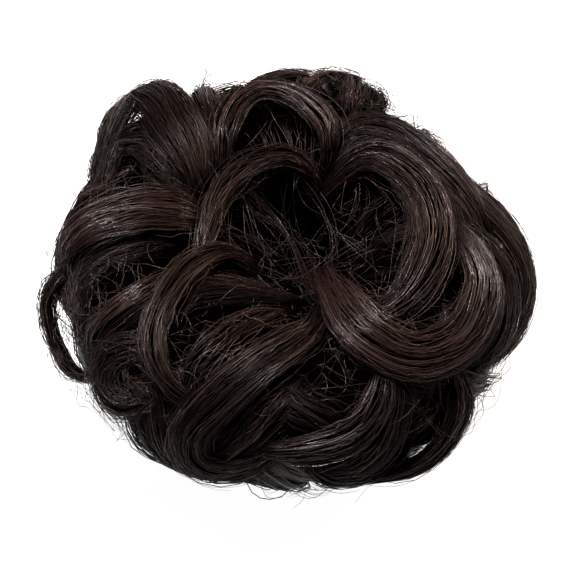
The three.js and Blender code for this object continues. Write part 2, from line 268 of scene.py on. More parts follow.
def smooth_path(points, steps=16):
    """A smooth line through some points, with steps between each two, closer where they are close."""
    points = np.asarray(points, float)
    ends = 2 * points[0] - points[1], 2 * points[-1] - points[-2]
    knots = np.vstack([ends[0], points, ends[1]])
    gaps = np.sqrt(np.linalg.norm(np.diff(knots, axis=0), axis=1))
    share = np.linspace(0, 1, steps, endpoint=False)[:, None]
    line = []
    for i in range(1, len(knots) - 2):
        a, b, c, d = knots[i - 1:i + 3]
        before, here, after = gaps[i - 1:i + 2]
        leave = ((b - a) / before - (c - a) / (before + here) + (c - b) / here) * here
        arrive = ((c - b) / here - (d - b) / (here + after) + (d - c) / after) * here
        square = 3 * (c - b) - 2 * leave - arrive
        cube = 2 * (b - c) + leave + arrive
        line.append(b + leave * share + square * share ** 2 + cube * share ** 3)
    return np.vstack([*line, points[-1:]])


def even_steps(path, count):
    """The same line in even steps of its length, and that length."""
    lengths = np.concatenate([[0], np.cumsum(np.linalg.norm(np.diff(path, axis=0), axis=1))])
    wanted = np.linspace(0, lengths[-1], count)
    return np.stack([np.interp(wanted, lengths, path[:, i]) for i in range(3)], axis=1), lengths[-1]


def swell(along, ends):
    """A lock's breadth along its length, as a share of its full breadth."""
    root, tip = ends
    grown = root + (1 - root) * smoothstep(along, 0, SWELL_SHARE)
    return grown * (1 - (1 - tip) * smoothstep(along, 1 - TAPER_SHARE, 1))


class LockShape:
    """Where a lock runs: its middle line, directions and half sizes at even steps along it."""

    STATIONS = 64

    def __init__(self, points, breadth, depth, sizes, ends=END_SHARES, fans=False):
        self.middle, self.length = even_steps(smooth_path(points), self.STATIONS)
        self.along = np.linspace(0, 1, self.STATIONS)
        tangent = unit(np.gradient(self.middle, axis=0))
        self.end_ways = tangent[0], tangent[-1]
        self.across = unit(np.cross(tangent, out_of_roll(self.middle, sizes)))
        self.out = np.cross(self.across, tangent)
        share = swell(self.along, ends)
        spread = 1.0
        if fans:
            reach = np.hypot(self.middle[:, 0], self.middle[:, 1])
            spread = reach / (sizes.roll_radius + sizes.roll_reach)
        self.breadth = sizes.lock_width * breadth
        self.half_breadth = self.breadth * share * spread / 2
        self.half_depth = sizes.lock_thickness * depth * np.sqrt(share) / 2

    def at(self, along):
        """Middle line, across, out, half breadth and half depth at shares of the length. Past its ends
        the lock runs on straight and sinks into the heap."""
        def columns(values):
            return np.stack([np.interp(along, self.along, column) for column in values.T], axis=-1)
        half_breadth = np.interp(along, self.along, self.half_breadth)
        half_depth = np.interp(along, self.along, self.half_depth)
        before, beyond = np.minimum(along, 0)[..., None], np.maximum(along - 1, 0)[..., None]
        middle = columns(self.middle) + self.length * (self.end_ways[0] * before + self.end_ways[1] * beyond)
        sink = self.length * (3.0 * (before ** 2 + beyond ** 2) + 0.3 * (beyond - before))
        middle = middle - columns(self.out) * sink
        return middle, columns(self.across), columns(self.out), half_breadth, half_depth


CELLS_ROUND, CELLS_UP = 180, 90  # cells of the heap's map, round the band and round the roll
HEAP_BASE = 0.8  # the map's lift where no lock lies
HOLLOW, PROUD = -0.11, 0.1  # lifts off the map at which the painted shade on strands is fullest and at which it is gone


class Heap:
    """How far the locks rise off the roll all round it, evened out, to tell hollows from crests, so that
    strands in the hollows can be given painted shade.
    """

    def __init__(self, shapes, sizes):
        self.sizes = sizes
        self.top = np.full((CELLS_ROUND, CELLS_UP), HEAP_BASE)
        aside = np.linspace(-0.95, 0.95, 9)
        for shape in shapes:
            across = shape.across[:, None] * (shape.half_breadth[:, None] * aside)[..., None]
            out = shape.out[:, None] * (shape.half_depth[:, None] * np.sqrt(1 - aside ** 2))[..., None]
            cell, lift = self.read(shape.middle[:, None] + across + out)
            np.maximum.at(self.top, cell, lift)
        for axis in (0, 0, 1, 1):
            self.top = sum(np.roll(self.top, step, axis) for step in range(-2, 3)) / 5

    def read(self, points):
        """The cell of the map that each point is in, and its lift off the roll's middle line."""
        aside = (np.hypot(points[..., 0], points[..., 1]) - self.sizes.roll_radius) / self.sizes.roll_reach
        above = points[..., 2] / self.sizes.roll_rise - 1
        bearing = np.arctan2(points[..., 1], points[..., 0]) / TURN % 1
        turn = np.arctan2(above, aside) / TURN % 1
        cell = (bearing * CELLS_ROUND).astype(int) % CELLS_ROUND, (turn * CELLS_UP).astype(int) % CELLS_UP
        return cell, np.hypot(aside, above)

    def standing(self, points):
        """1 where points stand proud of what is round them, falling to 0 in the hollows."""
        cell, lift = self.read(points)
        return smoothstep(lift - self.top[cell], HOLLOW, PROUD)


class Strands:
    """Gathers rows of corners and their faces, and makes one closed mesh of them."""

    def __init__(self):
        self.corners, self.faces, self.tones, self.flows = [], [], [], []
        self.count = 0
        self.core_faces = 0

    def add(self, rings, tone, flow):
        """Adds tubes. Rings are (tubes, stations, sides, 3), tone is one for each tube or each ring, and flow
        is a place in the lock's cross section and along it, for each ring or each corner."""
        tubes, stations, sides = rings.shape[:3]
        first = self.count + np.arange(tubes * stations * sides).reshape(tubes, stations, sides)
        low, high = first[:, :-1], first[:, 1:]
        walls = np.stack([low, high, np.roll(high, -1, axis=2), np.roll(low, -1, axis=2)], axis=-1)
        self.faces.extend([walls.reshape(-1, 4), first[:, 0], first[:, -1, ::-1]])
        self.corners.append(rings.reshape(-1, 3))
        shape = (tubes, stations, sides)
        tone = np.asarray(tone, float).reshape(tubes, -1, 1)
        self.tones.append(np.broadcast_to(tone, shape).ravel())
        flow = flow if flow.ndim == 4 else flow[:, :, None]
        self.flows.append(np.broadcast_to(flow, (*shape, 3)).reshape(-1, 3))
        self.count += tubes * stations * sides

    def core_done(self):
        """All faces so far are a core's."""
        self.core_faces = sum(len(faces) for faces in self.faces)

    def add_loop(self, rings, tone):
        """Adds one tube that closes on itself. Rings are (stations, sides, 3)."""
        stations, sides = rings.shape[:2]
        here = self.count + np.arange(stations * sides).reshape(stations, sides)
        ahead = np.roll(here, -1, axis=0)
        walls = np.stack([here, ahead, np.roll(ahead, -1, axis=1), np.roll(here, -1, axis=1)], axis=-1)
        self.faces.append(walls.reshape(-1, 4))
        self.corners.append(rings.reshape(-1, 3))
        self.tones.append(np.full(stations * sides, tone))
        self.flows.append(rings.reshape(-1, 3) / MM)
        self.count += stations * sides

    def piece(self, name, material, core=None):
        """One object of all that was added. The core has its own material."""
        mesh = bpy.data.meshes.new(name)
        corners = np.concatenate(self.corners)
        mesh.vertices.add(len(corners))
        mesh.vertices.foreach_set("co", corners.astype(np.float32).ravel())
        sizes = np.concatenate([np.full(len(faces), faces.shape[1]) for faces in self.faces])
        mesh.loops.add(int(sizes.sum()))
        walks = np.concatenate([faces.ravel() for faces in self.faces])
        mesh.loops.foreach_set("vertex_index", walks.astype(np.int32))
        mesh.polygons.add(len(sizes))
        starts = np.concatenate([[0], np.cumsum(sizes)[:-1]]).astype(np.int32)
        mesh.polygons.foreach_set("loop_start", starts)
        mesh.polygons.foreach_set("use_smooth", np.ones(len(sizes), bool))
        tone = mesh.attributes.new("tone", "FLOAT", "POINT")
        tone.data.foreach_set("value", np.concatenate(self.tones).astype(np.float32))
        flow = mesh.attributes.new("flow", "FLOAT_VECTOR", "POINT")
        flow.data.foreach_set("vector", np.concatenate(self.flows).astype(np.float32).ravel())
        materials = np.ones(len(sizes), np.int32)
        materials[:self.core_faces] = 0
        mesh.materials.append(core or core_material())
        mesh.materials.append(material)
        mesh.polygons.foreach_set("material_index", materials)
        mesh.update(calc_edges=True)
        made = bpy.data.objects.new(name, mesh)
        bpy.context.collection.objects.link(made)
        return made


def rings_round(lines, side, up, radii, sides=3):
    """Rings of corners round some lines: side, up and the line's own way are at right angles."""
    angles = TURN * (np.arange(sides) + 0.25) / sides
    circle = np.cos(angles)[:, None] * side[..., None, :] + np.sin(angles)[:, None] * up[..., None, :]
    return lines[..., None, :] + radii[..., None, None] * circle


@dataclass
class Style:
    """How the strands of a lock are laid."""

    density: float = 1.0  # strands, as a share of the usual count
    most: int = 26  # corners along a strand, at the most
    spread: float = 1.0  # breadth over the solid's own
    width: float = 1.0  # width of a strand, as a share of the usual
    core: float = 0.8  # size of the body that the strands lie on, as a share of the lock's
    frizz: float = 1.0  # how far strands bend aside
    loose: float = 0.07  # part of the strands that stand off
    tone: float = 1.0
    fray: float = 1.0  # how far strands part at the tip
    core_tone: float = 0.0  # tone of a core that shows, or 0 for the dark one, which paints the shadow between strands


FLOOR_GAP = 0.05 * MM
CORE_SIDES = 16
CORE_STATIONS = 40


def add_core(strands, shape, style):
    """The body inside a lock, which the strands lie on."""
    breadth_share, depth_share = style.core * style.spread, style.core
    along = np.linspace(0, 1, CORE_STATIONS)
    middle, across, out, half_breadth, half_depth = shape.at(along)
    angles = TURN * np.arange(CORE_SIDES) / CORE_SIDES
    u = breadth_share * half_breadth[:, None] * np.cos(angles)
    v = depth_share * half_depth[:, None] * np.sin(angles)
    corners = middle[:, None] + across[:, None] * u[..., None] + out[:, None] * v[..., None]
    corners[..., 2] = np.maximum(corners[..., 2], FLOOR_GAP)
    flow = np.stack([u / MM, v / MM, np.broadcast_to(along[:, None] * shape.length / MM, u.shape)], axis=-1)
    strands.add(corners[None], [style.core_tone], flow[None])
    strands.core_done()


STRAND_STEP = 5.0 * MM  # between the corners of a strand
CLUMP_STRANDS = 14
CLUMP_REACH = 0.6, 0.98  # how far clumps lie off the middle line, as shares of the lock's half sizes
CLUMP_END = 0.86, 1.08  # where clumps end, as shares of the lock's length
CLUMP_SWAY = 0.08
TOP_SHARE = 0.72  # part of the strands that lie on a lock's outer side
CROSSING_SHARE, CROSSING = 0.12, 3.5  # strands that wind across the others, and how much more they wind
WAYWARD_SHARE, WAYWARD = 0.14, 3.2  # strands that bend aside, and how much more they bend
STAND_OFF = 0.15, 0.6  # how far loose strands stand off, as shares of the lock's half sizes
PINCH = 0.6  # how far the strands of a clump draw together at the tip
FRAY = 1.3 * MM  # how far strands part at the tip
PAINTED_HOLLOW_TONE = 0.08  # share of the tone that the painted shade leaves in the hollows of the heap
WAVER_LENGTHS = np.array([55, 27, 13]) * MM
WAVER_SWINGS = np.array([0.36, 0.13, 0.04]) * MM


def waver(rng, distance, swings):
    """Small uneven bends of some strands, from the distance along each: (strands, points, 2)."""
    count = len(distance)
    total = 0
    for length, swing in zip(WAVER_LENGTHS, WAVER_SWINGS):
        own_length = length * rng.uniform(0.75, 1.35, (count, 1, 2))
        phase = rng.uniform(0, TURN, (count, 1, 2))
        height = swing * rng.normal(0, 1, (count, 1, 2))
        total = total + height * np.sin(TURN * distance[..., None] / own_length + phase)
    return total * swings[:, None, None]


def add_strands(strands, shape, rng, style):
    """The strands of a lock, in clumps that wind a little and end apart."""
    sizes = bpy.context.scene.hairpiece_sizes
    count = max(12, round(shape.breadth / MM * sizes.strand_density * style.density))
    points = int(np.clip(round(shape.length / STRAND_STEP), 9, style.most))
    clumps = max(4, round(count / CLUMP_STRANDS))
    clump_place = (np.arange(clumps) + rng.uniform(0, 0.8, clumps)) / clumps
    clump_angle = math.pi * np.interp(clump_place, [0, TOP_SHARE, 1], [-0.05, 1.05, 1.95])
    clump_reach = rng.uniform(*CLUMP_REACH, clumps)
    clump_end = rng.uniform(*CLUMP_END, clumps)
    clump_sway = rng.normal(0, CLUMP_SWAY, (clumps, 2))
    clump_phase = rng.uniform(0, TURN, (clumps, 2))
    clump_tone = 0.85 * rng.random(clumps) ** 1.5
    mine = rng.integers(clumps, size=count)

    angle = clump_angle[mine] + rng.normal(0, 0.16, count)
    reach = np.clip(clump_reach[mine] + rng.normal(0, 0.1, count), 0.3, 1.08)
    start = rng.uniform(-0.05, 0.05, count)
    end = np.clip(clump_end[mine] + rng.normal(0, 0.04, count), 0.75, 1.12)
    along = start[:, None] + (end - start)[:, None] * np.linspace(0, 1, points)
    middle, across, out, half_breadth, half_depth = shape.at(along)

    crossing = rng.normal(0, 0.35, (count, 1))
    crossing = crossing * np.where(rng.random((count, 1)) < CROSSING_SHARE, CROSSING, 1.0)
    wind = (rng.uniform(-0.8, 0.8) + crossing) * (along - 0.5)
    pinch = PINCH / style.fray * smoothstep(along, 0.6, 1.0)
    own_u = reach[:, None] * np.cos(angle[:, None] + wind)
    own_v = reach[:, None] * np.sin(angle[:, None] + wind)
    clump_u = clump_reach[mine, None] * np.cos(clump_angle[mine, None] + wind)
    clump_v = clump_reach[mine, None] * np.sin(clump_angle[mine, None] + wind)
    sway = np.sin(TURN * 1.3 * along[..., None] + clump_phase[mine, None]) * clump_sway[mine, None]
    stand_off = (rng.random(count) < style.loose) * rng.uniform(*STAND_OFF, count)
    bow = 1 + stand_off[:, None] * np.sin(math.pi * along)
    u = (own_u + (clump_u - own_u) * pinch + sway[..., 0]) * bow * half_breadth * style.spread
    v = (own_v + (clump_v - own_v) * pinch + sway[..., 1]) * bow * half_depth
    wayward = style.frizz * np.where(rng.random(count) < WAYWARD_SHARE, WAYWARD, 1.0)
    bend = waver(rng, along * shape.length, wayward)
    parting = FRAY * style.fray * smoothstep(along, 0.8, 1.1)[..., None] * rng.normal(0, 1, (count, 1, 2))
    u = u + bend[..., 0] + parting[..., 0]
    v = v + np.abs(bend[..., 1]) * np.sign(own_v) * 0.7 + parting[..., 1]

    lines = middle + across * u[..., None] + out * v[..., None]
    thickness = sizes.strand_width / 2 * style.width * rng.uniform(0.6, 1.25, count)
    ends = 1 - 0.75 * smoothstep(along, 0.85, 1.0)
    radii = thickness[:, None] * ends
    lines[..., 2] = np.maximum(lines[..., 2], radii + FLOOR_GAP)
    # Painted light and shade: strands on a lock's outer side get a lighter tone and those on its under side a
    # darker one.
    height = reach * np.sin(angle)
    tone = np.clip(clump_tone[mine] + rng.normal(0, 0.3, count) + 0.5 * (height - 0.4), 0, 1) * style.tone
    # Painted shade: strands sunk in the heap's hollows get a darker tone, which also dulls their coat's sheen.
    tone = np.minimum(tone, 1)[:, None] * (PAINTED_HOLLOW_TONE + (1 - PAINTED_HOLLOW_TONE) * heap_shade_map().standing(lines))
    flow = np.stack([u / MM, v / MM, along * shape.length / MM], axis=-1)
    strands.add(rings_round(lines, across, out, radii), tone, flow)


def settle(piece):
    """Makes a piece ride with the part."""
    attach(piece, BODY)


IN_SIGHT = Style()
# The low outer locks get a higher tone, painted light from the floor below them, and the inner locks a lower
# one, painted shade inside the loop.
LOW_OUTER = Style(density=0.36, most=13, spread=1.4, width=1.5, core=0.88, tone=1.4, core_tone=0.35)
INNER = Style(density=0.21, most=11, spread=1.35, width=1.5, core=0.92, tone=0.8)
# Locks whose strands are laid otherwise. Lower tones paint shade on locks that lie under, inside or between
# others or at the back of the heap, higher tones paint light from the floor on the low front locks, and the
# other tones make a lock a little darker than the usual.
OWN_STYLES = {
    "crest_front_right": Style(fray=2.4),
    "lobe_back_left": Style(tone=0.65),
    "nape_left": Style(tone=0.52, frizz=1.3),
    "wave_left_under": Style(tone=0.55, frizz=2.0, loose=0.2),
    "lobe_front_right_inner": Style(tone=0.5, frizz=1.5),
    "dip_front": Style(tone=0.7, frizz=1.8, loose=0.2),
    "hook_inner": Style(tone=0.8, frizz=1.3),
    "swirl_left": Style(tone=0.65, frizz=2.2, loose=0.25),
    "back_loop": Style(tone=0.7, frizz=1.8, loose=0.2),
    "back_tuft": Style(tone=0.7, frizz=2.2, loose=0.3, fray=1.5),
    "edge_front_left": Style(tone=1.05),
    "sweep_right_upper": Style(tone=0.75),
    "edge_right": Style(tone=0.8),
    "fall_right": Style(tone=0.75, frizz=1.3),
    "rim_left": Style(tone=0.75),
    "crest_right": Style(tone=0.9),
    "lobe_front": Style(tone=1.3),
    "lobe_front_right": Style(tone=1.3),
}


def make_locks(shapes, seed, style=IN_SIGHT):
    """A piece for each named shape, in the place of the solid with that name."""
    for i, (node, shape) in enumerate(shapes):
        own_style = OWN_STYLES.get(node, style)
        strands = Strands()
        add_core(strands, shape, own_style)
        add_strands(strands, shape, np.random.default_rng(seed + i), own_style)
        # Cores that don't show take the shadow material, painted shade between the strands.
        core = hair_material() if own_style.core_tone else core_material()
        piece = strands.piece(f"hair_{node}", hair_material(), core)
        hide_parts(node)
        settle(piece)


def table_shapes(table, sizes):
    """The names and shapes of a table's locks, one by one."""
    for node, (breadth, depth, places) in table.items():
        bearing, turn, lift = np.array(places, float).T
        yield node, LockShape(place_on_roll(bearing, turn, lift, sizes), breadth, depth, sizes)


def turned_places(places, bearing, reach=1.0):
    """A repeated lock's places, turned to its own bearing."""
    return [(bearing + offset, turn, lift * reach) for offset, turn, lift in places]


def skirt_shapes(sizes):
    """The low outer locks, one by one."""
    breadth, depth, places = SKIRT_LOCK
    for i, reach in enumerate(SKIRT_REACHES):
        bearing, turn, lift = np.array(turned_places(places, 360 * (i + 0.5) / len(SKIRT_REACHES), reach)).T
        points = place_on_roll(bearing, turn, lift, sizes)
        yield f"skirt_lock_{i + 1}", LockShape(points, breadth, depth, sizes, SKIRT_ENDS, fans=True)


def inner_shapes(sizes):
    """The inner locks, one by one. Each starts on the sewn ring."""
    breadth, depth, places = INNER_LOCK
    ring_middle = (RING_HIGH[0] + BAND_HIGH[0]) / 2
    for i in range(INNER_COUNT):
        bearing = 360 * i / INNER_COUNT
        round_band = math.radians(bearing + INNER_ROOT_BEARING)
        root = [ring_middle * math.cos(round_band), ring_middle * math.sin(round_band), RING_HIGH[2]]
        own_bearing, turn, lift = np.array(turned_places(places, bearing)).T
        points = np.vstack([root, place_on_roll(own_bearing, turn, lift, sizes)])
        yield f"inner_lock_{i + 1}", LockShape(points, breadth, depth, sizes, INNER_ENDS, fans=True)


@functools.cache
def heap_shade_map():
    """The map of the whole heap, made once, which gives painted shade to the strands in its hollows."""
    sizes = bpy.context.scene.hairpiece_sizes
    named = [lock for table in (CRESTS, MIDDLES, EDGES) for lock in table_shapes(table, sizes)]
    named += [*skirt_shapes(sizes), *inner_shapes(sizes)]
    return Heap([shape for _, shape in named], sizes)


class Wire:
    """A shader socket that can stand in a sum."""

    def __init__(self, shader, socket):
        self.shader, self.socket = shader, socket

    def maths(self, operation, a, b):
        return self.shader.node("ShaderNodeMath", {"operation": operation}, {0: a, 1: b})

    def __add__(self, other):
        return self.maths("ADD", self, other)

    def __sub__(self, other):
        return self.maths("SUBTRACT", self, other)

    def __rsub__(self, other):
        return self.maths("SUBTRACT", other, self)

    def __mul__(self, other):
        return self.maths("MULTIPLY", self, other)

    def __truediv__(self, other):
        return self.maths("DIVIDE", self, other)

    def __pow__(self, other):
        return self.maths("POWER", self, other)

    __radd__ = __add__
    __rmul__ = __mul__


class Shader:
    """A material whose nodes are made one call each."""

    def __init__(self, name):
        self.material = bpy.data.materials.new(name)
        self.material.use_nodes = True
        self.tree = self.material.node_tree
        self.surface = self.tree.nodes["Principled BSDF"]

    def node(self, kind, settings=None, inputs=None, output=0):
        """Adds a node, with its settings first and then the values or links of its sockets."""
        node = self.tree.nodes.new(kind)
        for key, value in (settings or {}).items():
            setattr(node, key, value)
        for key, value in (inputs or {}).items():
            self.feed(node.inputs[key], value)
        return Wire(self, node.outputs[output])

    def feed(self, socket, value):
        if isinstance(value, Wire):
            self.tree.links.new(value.socket, socket)
        elif hasattr(socket.default_value, "__len__") and len(value) < len(socket.default_value):
            socket.default_value = (*value, 1.0)
        else:
            socket.default_value = value

    def finish(self, **inputs):
        """Sets the surface's sockets, named with spaces as underscores, and gives the material."""
        for key, value in inputs.items():
            self.feed(self.surface.inputs[key.replace("_", " ")], value)
        return self.material

    def attribute(self, name, output="Fac"):
        return self.node("ShaderNodeAttribute", {"attribute_name": name}, output=output)

    def noise(self, vector, scale, detail=2.0):
        return self.node("ShaderNodeTexNoise", inputs={"Vector": vector, "Scale": scale, "Detail": detail})

    def scaled(self, vector, factors):
        return self.node("ShaderNodeVectorMath", {"operation": "MULTIPLY"}, {0: vector, 1: factors})

    def mix(self, factor, low, high):
        """A colour between two. A colour mix has its factor and colours at these places."""
        return self.node("ShaderNodeMix", {"data_type": "RGBA"}, {0: factor, 6: low, 7: high}, output=2)


ALONG_STRANDS = (1.0, 1.0, 0.03)  # stretches a pattern along the strands


@functools.cache
def hair_material():
    """Near-black brown hair: each strand has its own tone, streaked along its length. On the locks the tone
    also carries painted light and shade, and it sets the coat's sheen as well as the colour.
    """
    colours = bpy.context.scene.hairpiece_colours
    shader = Shader("hair")
    tone = shader.attribute("tone")
    flow = shader.attribute("flow", "Vector")
    streak = shader.noise(shader.scaled(flow, ALONG_STRANDS), 4.0, 3.0)
    place = shader.node("ShaderNodeTexCoord", output="Object")
    patch = shader.noise(place, 40.0, 2.0)
    light = tone * (streak * 0.9 + 0.4) * (patch * 1.2 + 0.4)
    colour = shader.mix(light, colours.hair_dark, colours.hair_light)
    bump = shader.node("ShaderNodeBump", inputs={"Strength": 0.6, "Distance": 0.2 * MM, "Height": streak})
    return shader.finish(
        Base_Color=colour, Roughness=0.42, Normal=bump, Specular_IOR_Level=0.14,
        Specular_Tint=(1.0, 0.8, 0.77), Coat_Weight=tone ** 2.0, Coat_Roughness=0.21, Coat_Normal=bump)


@functools.cache
def loose_material():
    """Single hairs, given a lighter colour than a lock as painted light for the light that they take from all
    round.
    """
    colours = bpy.context.scene.hairpiece_colours
    shader = Shader("loose_hair")
    tone = shader.attribute("tone")
    colour = shader.mix(tone ** 2.0, colours.hair_dark, colours.hair_loose_lit)
    return shader.finish(
        Base_Color=colour, Roughness=0.34, Specular_IOR_Level=0.4, Specular_Tint=(1.0, 0.9, 0.87))


@functools.cache
def core_material():
    """The shadow between the strands of a lock: dark and dull, with faint streaks along it."""
    colours = bpy.context.scene.hairpiece_colours
    shader = Shader("hair_shadow")
    flow = shader.attribute("flow", "Vector")
    streak = shader.noise(shader.scaled(flow, ALONG_STRANDS), 5.0, 3.0)
    colour = shader.mix(streak * 0.35, (0.0003, 0.0002, 0.0002), colours.hair_dark)
    bump = shader.node("ShaderNodeBump", inputs={"Strength": 1.0, "Distance": 0.4 * MM, "Height": streak})
    return shader.finish(Base_Color=colour, Roughness=0.8, Normal=bump, Specular_IOR_Level=0.0)


def band_material():
    """Black knitted elastic, matt, with fine ribs along it and rows of stitches across."""
    colours = bpy.context.scene.hairpiece_colours
    shader = Shader("elastic")
    flow = shader.attribute("flow", "Vector")
    place = shader.node("ShaderNodeTexCoord", output="Object")
    knit = shader.node("ShaderNodeTexWave", {"wave_type": "BANDS", "bands_direction": "Z"},
                       {"Vector": flow, "Scale": 0.9, "Distortion": 0.6, "Detail": 1.0}, output="Fac")
    fuzz = shader.noise(place, 1500.0, 2.0)
    colour = shader.mix(fuzz * 0.6 + knit * 0.4, colours.band, (0.05, 0.045, 0.047))
    relief = knit + fuzz * 0.4
    bump = shader.node("ShaderNodeBump", inputs={"Strength": 0.7, "Distance": 0.15 * MM, "Height": relief})
    return shader.finish(Base_Color=colour, Roughness=0.85, Normal=bump)


FLOOR_GLOW = 0.985
FLOOR_GRAIN = 0.985  # the floor's darker grains, as a share of its colour


def floor_material():
    """The pale floor, which glows a little so that it comes out white."""
    colours = bpy.context.scene.hairpiece_colours
    shader = Shader("floor")
    place = shader.node("ShaderNodeTexCoord", output="Object")
    grain = shader.noise(place, 300.0, 2.0)
    shade = tuple(FLOOR_GRAIN * value for value in colours.floor)
    surface = shader.mix(grain, shade, colours.floor)
    return shader.finish(
        Base_Color=surface, Roughness=0.7, Emission_Color=(1.0, 1.0, 1.0), Emission_Strength=FLOOR_GLOW)


RIBS, RIB_DEPTH = 6, 0.12 * MM


class HAIRPIECE_OT_band(bpy.types.Operator):
    """Models the knitted elastic band"""

    bl_idname = "hairpiece.band"
    bl_label = "Elastic band"

    def execute(self, context):
        bpy.ops.object.select_all(action="DESELECT")
        outer = BAND_HIGH[0]
        height = BAND_HIGH[2] - BAND_LOW[2]
        minor = BAND_THICKNESS / 2
        bpy.ops.mesh.primitive_torus_add(
            major_segments=120, minor_segments=36, major_radius=outer - minor, minor_radius=minor,
            location=(0, 0, (BAND_HIGH[2] + BAND_LOW[2]) / 2))
        band = context.object
        band.name = band.data.name = "knitted_band"
        band.scale.z = height / (2 * minor)
        bpy.ops.object.transform_apply(location=True, rotation=True, scale=True)
        corners = np.array([v.co for v in band.data.vertices])
        bearing = np.arctan2(corners[:, 1], corners[:, 0])
        radius = np.hypot(corners[:, 0], corners[:, 1])
        level = (corners[:, 2] - corners[:, 2].mean()) / (height / 2)
        rib = RIB_DEPTH * np.cos(TURN * RIBS * level)
        side = np.sign(radius - (outer - minor))
        radius = radius + side * (rib - RIB_DEPTH)
        corners[:, 0], corners[:, 1] = radius * np.cos(bearing), radius * np.sin(bearing)
        band.data.vertices.foreach_set("co", corners.ravel())
        flow = band.data.attributes.new("flow", "FLOAT_VECTOR", "POINT")
        way = np.stack([level * height / MM, radius / MM, bearing * outer / MM], axis=1)
        flow.data.foreach_set("vector", way.astype(np.float32).ravel())
        band.data.shade_smooth()
        band.data.materials.append(band_material())
        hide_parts("elastic_band")
        settle(band)
        return {"FINISHED"}


RING_STRANDS = 330
RING_POINTS = 20  # corners along a strand of the ring
RING_STATIONS, RING_SIDES = 96, 20
RING_CORE = 0.88  # size of the body that the strands lie on, as a share of the ring's
RING_SQUARENESS = 0.7  # 1 is an oval section, less is squarer


class HAIRPIECE_OT_ring(bpy.types.Operator):
    """Models the sewn ring: wefts of hair wound round the band"""

    bl_idname = "hairpiece.ring"
    bl_label = "Sewn ring"

    def execute(self, context):
        rng = np.random.default_rng(11)
        sizes = context.scene.hairpiece_sizes
        height = RING_HIGH[2] - RING_LOW[2]
        inner = BAND_HIGH[0] + CLEARANCE
        half_depth, half_height = (RING_HIGH[0] - inner) / 2, height / 2
        middle = inner + half_depth

        def on_ring(bearing, round_tube, share):
            cosine, sine = np.cos(round_tube), np.sin(round_tube)
            reach = middle + half_depth * share * np.sign(cosine) * np.abs(cosine) ** RING_SQUARENESS
            level = half_height * (1 + share * np.sign(sine) * np.abs(sine) ** RING_SQUARENESS)
            x, y = reach * np.cos(bearing), reach * np.sin(bearing)
            return np.stack([x, y, np.broadcast_to(level, x.shape)], axis=-1)

        strands = Strands()
        bearing = np.linspace(0, TURN, RING_STATIONS, endpoint=False)
        angles = TURN * np.arange(RING_SIDES) / RING_SIDES
        strands.add_loop(on_ring(bearing[:, None], angles[None, :], RING_CORE), tone=0.1)
        strands.core_done()
        count, points = RING_STRANDS, RING_POINTS
        start = rng.uniform(0, TURN, (count, 1))
        sweep = rng.uniform(0.8, 1.6, (count, 1))
        first = rng.uniform(0, TURN, (count, 1))
        winds = rng.choice([1.0, 1.0, -1.0], (count, 1)) * rng.uniform(0.35, 0.9, (count, 1)) * TURN
        step = np.linspace(0, 1, points)
        share = rng.uniform(0.9, 1.0, (count, 1)) + 0.02 * np.sin(TURN * 2 * step + first)
        lines = on_ring(start + sweep * step, first + winds * step, share)
        tangent = unit(np.gradient(lines, axis=1))
        up = unit(lines - on_ring(start + sweep * step, first + winds * step, share * 0.5))
        side = unit(np.cross(tangent, up))
        up = np.cross(side, tangent)
        radii = np.full((count, points), sizes.strand_width / 2) * rng.uniform(1.0, 1.7, (count, 1))
        lines[..., 2] = np.maximum(lines[..., 2], radii + FLOOR_GAP)
        strands.add(rings_round(lines, side, up, radii), rng.uniform(0, 1, count), lines / MM)
        ring = strands.piece("hair_sewn_ring", hair_material())
        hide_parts("sewn_ring")
        settle(ring)
        return {"FINISHED"}


class HAIRPIECE_OT_crests(bpy.types.Operator):
    """Models the topmost curls, which lie in full view"""

    bl_idname = "hairpiece.crests"
    bl_label = "Topmost curls"

    def execute(self, context):
        make_locks(table_shapes(CRESTS, context.scene.hairpiece_sizes), seed=100)
        return {"FINISHED"}


class HAIRPIECE_OT_middles(bpy.types.Operator):
    """Models the curls between the topmost ones"""

    bl_idname = "hairpiece.middles"
    bl_label = "Curls between"

    def execute(self, context):
        make_locks(table_shapes(MIDDLES, context.scene.hairpiece_sizes), seed=200)
        return {"FINISHED"}


class HAIRPIECE_OT_edges(bpy.types.Operator):
    """Models the curls along the outer edge"""

    bl_idname = "hairpiece.edges"
    bl_label = "Curls at the edge"

    def execute(self, context):
        make_locks(table_shapes(EDGES, context.scene.hairpiece_sizes), seed=300)
        return {"FINISHED"}


class HAIRPIECE_OT_skirt(bpy.types.Operator):
    """Models the low locks all round, which end on the surface"""

    bl_idname = "hairpiece.skirt"
    bl_label = "Low outer locks"

    def execute(self, context):
        make_locks(skirt_shapes(context.scene.hairpiece_sizes), seed=400, style=LOW_OUTER)
        return {"FINISHED"}


class HAIRPIECE_OT_inner(bpy.types.Operator):
    """Models the inner locks, which start on the sewn ring"""

    bl_idname = "hairpiece.inner"
    bl_label = "Inner locks"

    def execute(self, context):
        make_locks(inner_shapes(context.scene.hairpiece_sizes), seed=500, style=INNER)
        return {"FINISHED"}


BOX_MARGIN = 8 * MM  # how far a loose hair may stand out of the solids' box


